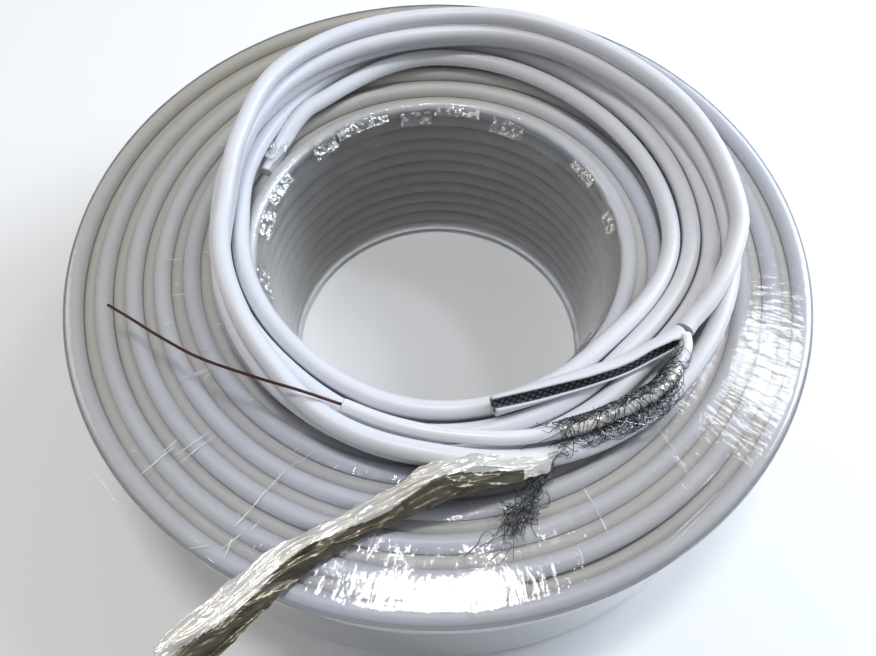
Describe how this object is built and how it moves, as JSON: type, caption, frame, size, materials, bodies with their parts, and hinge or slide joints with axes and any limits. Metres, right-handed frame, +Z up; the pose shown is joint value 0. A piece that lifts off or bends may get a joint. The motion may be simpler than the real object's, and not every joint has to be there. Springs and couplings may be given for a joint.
{
  "type": "coaxial cable coil",
  "caption": "Coil of white coaxial cable in clear stretch film, with loose turns on top and a stripped end showing jacket, braid, foil, dielectric and wire.",
  "frame": {"origin": "middle of the wound coil's underside, on the floor", "axes": "+Z up along the bore's axis; -Y towards the stripped end"},
  "size_m": [0.2862, 0.3007, 0.1123],
  "materials": {
    "cable_jacket": "smooth white cable jacket with a soft sheen",
    "clear_film": "clear stretch film, glossy, with fine wrinkles",
    "foamed_dielectric": "smooth white foamed plastic",
    "aluminium_foil": "bright crumpled foil",
    "braid_wire": "fine bare wires, unpicked and tangled",
    "copper_wire": "dark tarnished copper"
  },
  "bodies": {
    "root": {"wound_coil": "cable_jacket", "stretch_film": "clear_film", "loose_turns": "cable_jacket", "slit_jacket": "cable_jacket", "dielectric": "foamed_dielectric", "foil_wrap": "aluminium_foil", "braid_clump": "braid_wire", "foil_tape": "aluminium_foil", "centre_conductor": "copper_wire"}
  },
  "joints": []
}
